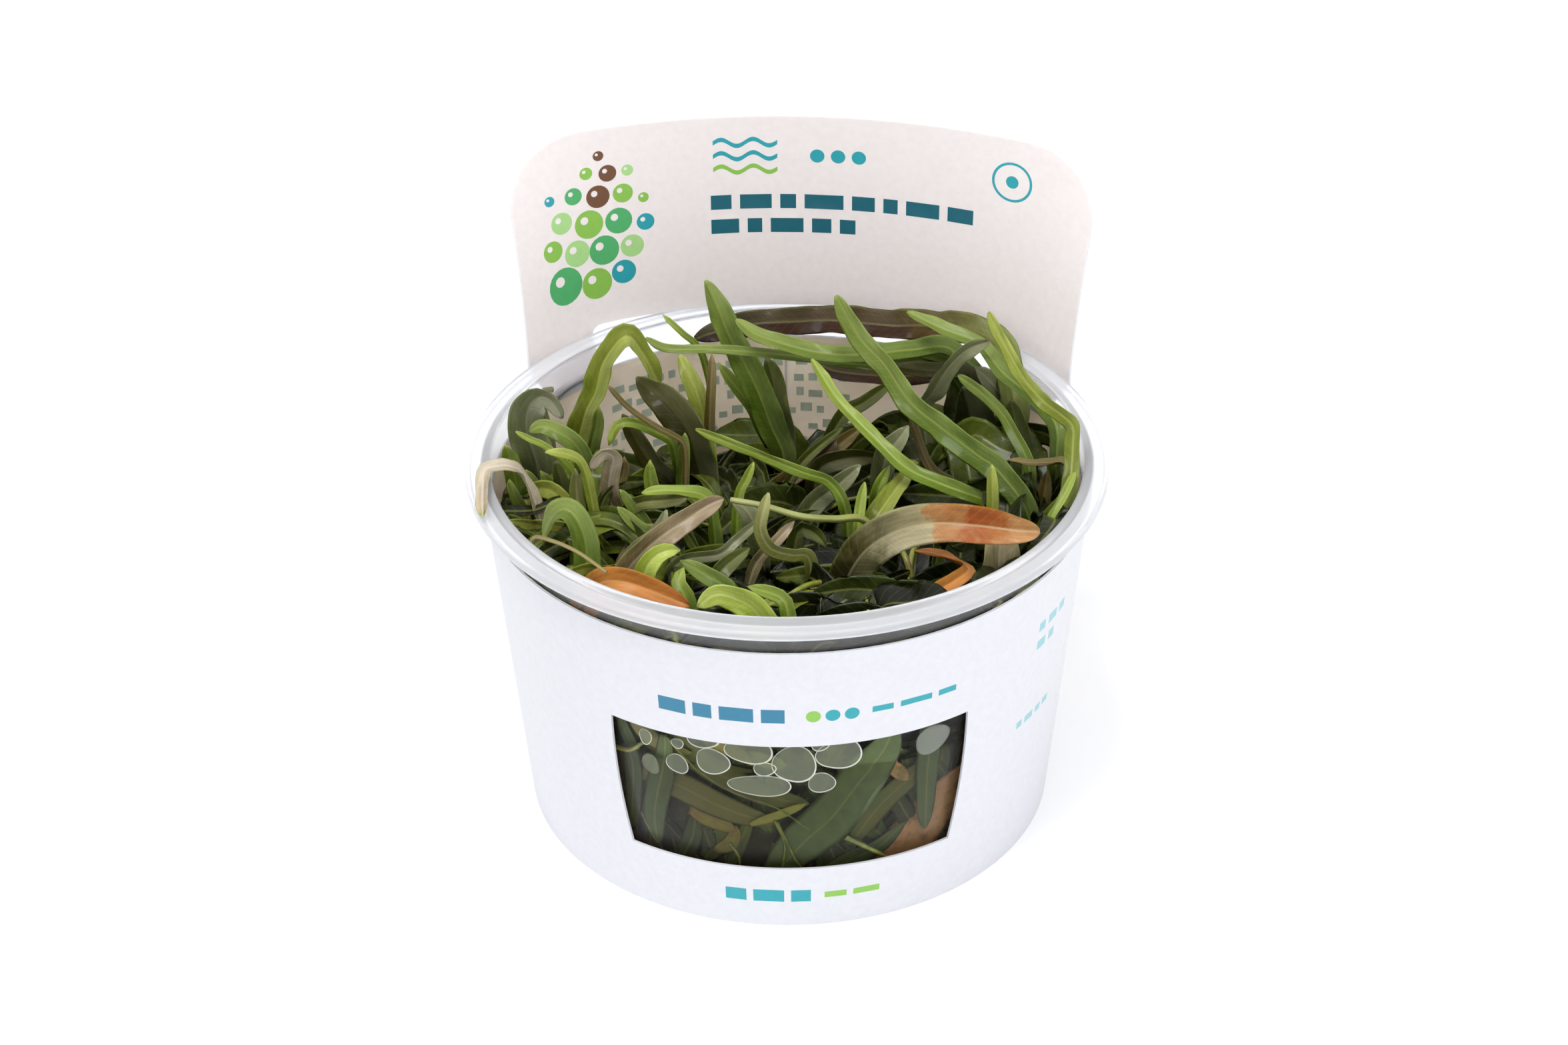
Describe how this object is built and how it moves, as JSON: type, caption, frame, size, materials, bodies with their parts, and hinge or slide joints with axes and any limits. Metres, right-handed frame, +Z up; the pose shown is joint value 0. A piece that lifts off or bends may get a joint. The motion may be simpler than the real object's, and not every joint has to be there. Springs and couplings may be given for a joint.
{
  "type": "aquarium plant in a tissue culture cup",
  "caption": "Narrow-leaved aquarium plant packed in nutrient gel in a clear flanged round cup, with a windowed white card sleeve and a tall rounded card header at the back.",
  "frame": {"origin": "on the table, under the middle of the cup", "axes": "+Z up; the card header stands at +Y; the sleeve's window looks towards -Y"},
  "size_m": [0.1, 0.1, 0.0953],
  "materials": {
    "clear_polypropylene": "clear moulded polypropylene",
    "printed_card": "white coated board, printed",
    "nutrient_gel": "clear wet gel",
    "packed_leaves": "wet crowded leaves and roots",
    "leaf_green": "wet fresh leaf",
    "leaf_bright": "wet young leaf",
    "leaf_yellow_green": "wet ageing leaf",
    "leaf_olive": "wet leaf in shade",
    "leaf_dark": "wet dark leaf",
    "leaf_bronze": "bronze submerged leaf",
    "leaf_brown": "browned leaf",
    "leaf_purple": "thin translucent dying leaf",
    "leaf_beige": "bleached dead leaf",
    "leaf_orange": "orange dying leaf",
    "leaf_grey": "grey waterlogged leaf"
  },
  "bodies": {
    "root": {"cup": "clear_polypropylene", "card_sleeve": "printed_card", "nutrient_gel": "nutrient_gel", "leaf_tangle": "packed_leaves", "leaf_tall_left": "leaf_green", "leaf_bent_left": "leaf_yellow_green", "leaf_thin_curled": "leaf_green", "leaf_back_light": "leaf_green", "leaf_bronze_arch": "leaf_bronze", "leaf_back_dark": "leaf_bronze", "leaf_long_right": "leaf_green", "leaf_narrow_right": "leaf_bright", "leaf_elbow_back": "leaf_green", "leaf_elbow_front": "leaf_yellow_green", "leaf_arching_right": "leaf_green", "leaf_wet_grey": "leaf_grey", "leaf_brown_hanging": "leaf_brown", "leaf_short_right": "leaf_yellow_green", "leaf_olive_centre": "leaf_yellow_green", "leaf_curved_centre": "leaf_bright", "leaf_orange_right": "leaf_orange", "leaf_beige_right": "leaf_beige", "leaf_orange_hook": "leaf_orange", "leaf_orange_left": "leaf_orange", "leaf_pale_front": "leaf_bright", "leaf_purple_folded": "leaf_purple", "stalk_pale": "leaf_yellow_green", "leaf_curl_centre": "leaf_yellow_green", "leaf_grey_wave": "leaf_grey", "leaf_arched_left": "leaf_green", "stalk_straw": "leaf_beige", "leaf_over_rim": "leaf_beige", "leaf_cut_left": "leaf_bright", "leaf_grey_cupped": "leaf_grey", "stalk_curled": "leaf_grey", "leaf_pink_tip": "leaf_purple", "leaf_bright_narrow": "leaf_bright", "leaf_yellow_back": "leaf_yellow_green", "leaf_dark_left": "leaf_dark", "leaf_dark_broad": "leaf_dark", "leaf_veined_left": "leaf_green", "leaf_brown_long": "leaf_brown", "leaf_cluster_arch": "leaf_green", "leaf_cluster_thin": "leaf_bright", "leaf_cluster_flat": "leaf_yellow_green", "leaf_bundle_rim": "leaf_green", "leaf_bundle_back": "leaf_green", "leaf_bundle_inner": "leaf_olive", "leaf_centre_fresh": "leaf_green", "leaf_centre_grey": "leaf_grey", "leaf_centre_veined": "leaf_green", "leaf_centre_flat": "leaf_bright", "leaf_centre_upright": "leaf_bright", "leaf_centre_low": "leaf_green", "leaf_folded_right": "leaf_brown", "leaf_rim_right": "leaf_bright", "leaf_dark_right": "leaf_dark", "leaf_wet_right": "leaf_olive", "leaf_brown_centre": "leaf_brown", "leaf_wet_centre": "leaf_grey"}
  },
  "joints": []
}
